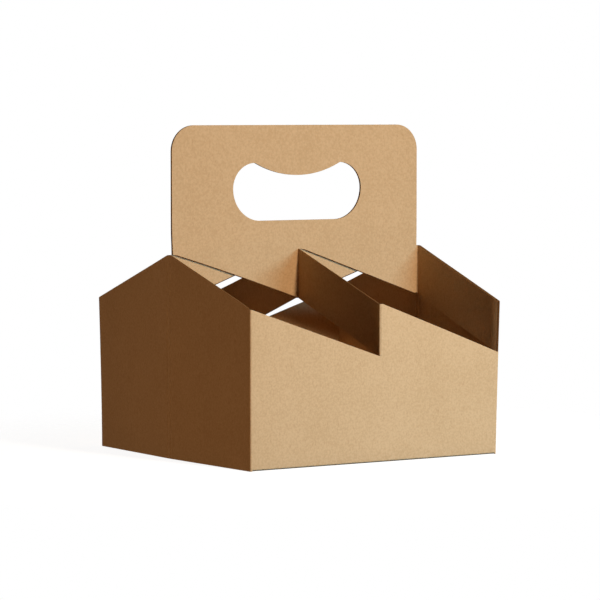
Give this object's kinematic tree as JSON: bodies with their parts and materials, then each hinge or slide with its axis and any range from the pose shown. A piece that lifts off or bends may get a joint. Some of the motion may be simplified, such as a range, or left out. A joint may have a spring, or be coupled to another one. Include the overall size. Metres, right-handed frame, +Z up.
{
  "type": "cup carrier",
  "caption": "Folded kraft board carrier for take-away cups, with gabled ends, slanted straps that form the cells and a tall handle with a hand hole.",
  "frame": {"origin": "middle of the underside, on the surface the carrier stands on", "axes": "+X along the front panel to the right, +Y from the front panel to the back panel, +Z up to the handle"},
  "size_m": [0.1964, 0.184, 0.2132],
  "materials": {
    "kraft_board": "matte"
  },
  "bodies": {
    "root": {"carrier": "kraft_board"}
  },
  "joints": []
}
